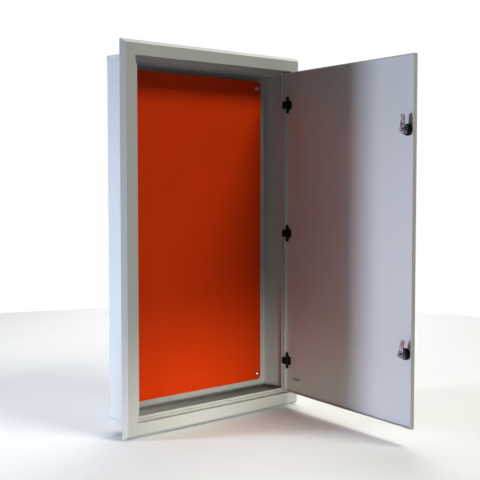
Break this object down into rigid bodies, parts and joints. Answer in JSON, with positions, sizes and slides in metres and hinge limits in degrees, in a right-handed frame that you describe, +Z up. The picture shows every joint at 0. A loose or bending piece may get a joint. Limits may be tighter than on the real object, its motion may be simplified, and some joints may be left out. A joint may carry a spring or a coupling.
{
  "type": "fire alarm control panel",
  "caption": "Recessed sheet-steel wall cabinet with a bevelled trim frame, a hinged flush door on cam locks and an orange inner mounting plate.",
  "frame": {"origin": "centre of the back panel's rear face", "axes": "+X to the right seen from the front, +Y into the wall, +Z up"},
  "size_m": [0.686, 0.6897, 1.088],
  "materials": {
    "grey_paint": "light grey satin powder coat",
    "orange_paint": "orange satin powder coat",
    "black_plastic": "black moulded plastic",
    "plated_steel": "bright zinc plating",
    "grey_foam": "light grey closed-cell foam"
  },
  "bodies": {
    "cabinet": {"back_box": "grey_paint", "bottom_end_cap": "grey_paint", "cabinet_earth_nut": "plated_steel", "cabinet_earth_stud": "plated_steel", "hinge_frame_leaf_lower": "black_plastic", "hinge_frame_leaf_middle": "black_plastic", "hinge_frame_leaf_upper": "black_plastic", "hinge_pin_lower": "black_plastic", "hinge_pin_middle": "black_plastic", "hinge_pin_upper": "black_plastic", "hinge_screw_lower": "plated_steel", "hinge_screw_middle": "plated_steel", "hinge_screw_upper": "plated_steel", "mounting_plate": "orange_paint", "plate_nut_bottom_left": "plated_steel", "plate_nut_bottom_right": "plated_steel", "plate_nut_top_left": "plated_steel", "plate_nut_top_right": "plated_steel", "plate_spacer_bottom_left": "plated_steel", "plate_spacer_bottom_right": "plated_steel", "plate_spacer_top_left": "plated_steel", "plate_spacer_top_right": "plated_steel", "plate_stud_bottom_left": "plated_steel", "plate_stud_bottom_right": "plated_steel", "plate_stud_top_left": "plated_steel", "plate_stud_top_right": "plated_steel", "plate_washer_bottom_left": "plated_steel", "plate_washer_bottom_right": "plated_steel", "plate_washer_top_left": "plated_steel", "plate_washer_top_right": "plated_steel", "rim_gasket": "grey_foam", "top_end_cap": "grey_paint", "trim_frame_bottom": "grey_paint", "trim_frame_left": "grey_paint", "trim_frame_right": "grey_paint", "trim_frame_top": "grey_paint"},
    "door": {"door_earth_nut": "plated_steel", "door_earth_stud": "plated_steel", "door_panel": "grey_paint", "hinge_door_leaf_lower": "black_plastic", "hinge_door_leaf_middle": "black_plastic", "hinge_door_leaf_upper": "black_plastic", "hinge_nut_lower_high": "black_plastic", "hinge_nut_lower_low": "black_plastic", "hinge_nut_middle_high": "black_plastic", "hinge_nut_middle_low": "black_plastic", "hinge_nut_upper_high": "black_plastic", "hinge_nut_upper_low": "black_plastic", "lock_housing_lower": "black_plastic", "lock_housing_upper": "black_plastic", "lock_nut_lower": "black_plastic", "lock_nut_upper": "black_plastic", "lock_stop_plate_lower": "plated_steel", "lock_stop_plate_upper": "plated_steel"},
    "upper_lock": {"lock_rotor_upper": "plated_steel", "lock_cam_upper": "plated_steel", "cam_bolt_upper": "plated_steel"},
    "lower_lock": {"lock_rotor_lower": "plated_steel", "lock_cam_lower": "plated_steel", "cam_bolt_lower": "plated_steel"}
  },
  "joints": [
    {"name": "door_hinge", "type": "hinge", "parent": "cabinet", "child": "door", "pos_m": [0.291, -0.1145, 0], "axis": [0, 0, 1], "range_deg": [-78.7, 31.3]},
    {"name": "upper_lock_turn", "type": "hinge", "parent": "door", "child": "upper_lock", "pos_m": [0.16636, -0.65506, 0.298], "axis": [0.9806, -0.1959, 0], "range_deg": [0, 90]},
    {"name": "lower_lock_turn", "type": "hinge", "parent": "door", "child": "lower_lock", "pos_m": [0.16636, -0.65506, -0.298], "axis": [0.9806, -0.1959, 0], "range_deg": [-12, 78]}
  ]
}
